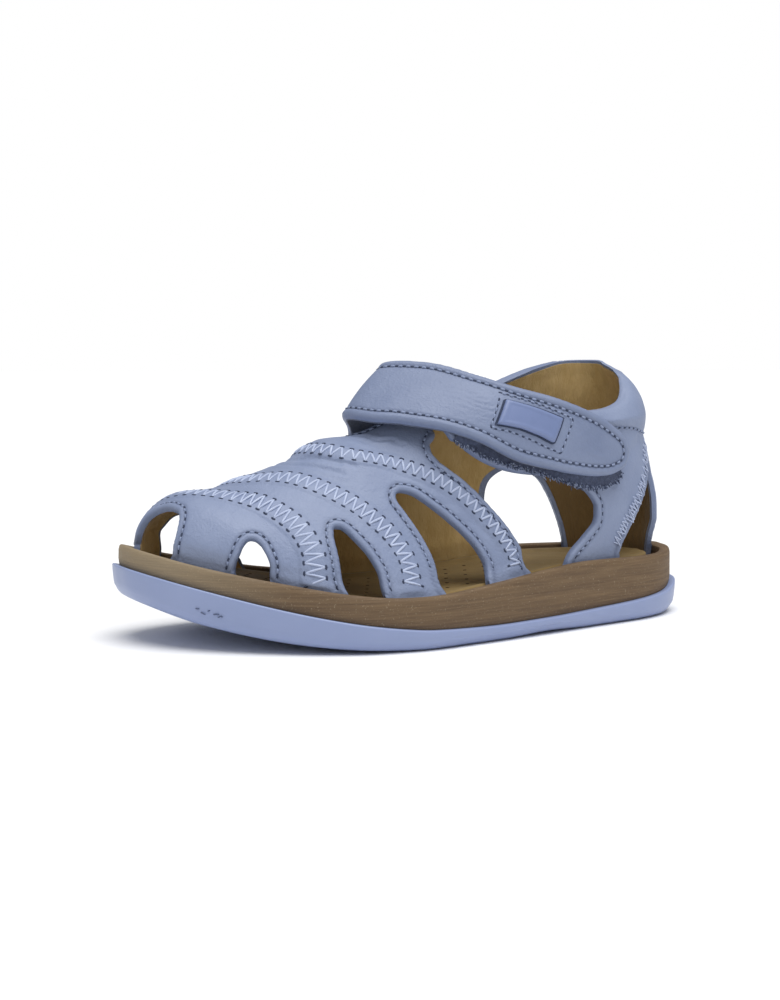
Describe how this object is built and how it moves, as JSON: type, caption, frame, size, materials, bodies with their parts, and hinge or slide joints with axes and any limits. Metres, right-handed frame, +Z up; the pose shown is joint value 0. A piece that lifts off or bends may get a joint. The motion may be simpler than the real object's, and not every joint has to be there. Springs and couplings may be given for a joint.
{
  "type": "fisherman sandal",
  "caption": "Child's leather fisherman sandal for the left foot: vamp with cut-outs and three zigzag-stitched bands, padded heel collar, fastened instep strap, wood-look midsole and rubber outsole.",
  "frame": {"origin": "middle of the footprint's bounding box, on the floor under the sole", "axes": "+X from heel to toe, +Y to the outer side of the left foot, +Z up from the floor"},
  "size_m": [0.177, 0.0762, 0.0792],
  "materials": {
    "outsole": "satin",
    "midsole": "matte",
    "insole": "matte",
    "upper": "matte",
    "instep_strap": "matte",
    "hook_pad": "matte",
    "strap_patch": "satin"
  },
  "bodies": {
    "root": {"outsole": "outsole", "midsole": "midsole", "insole": "insole", "upper": "upper", "instep_strap": "instep_strap", "hook_pad": "hook_pad", "strap_patch": "strap_patch"}
  },
  "joints": []
}
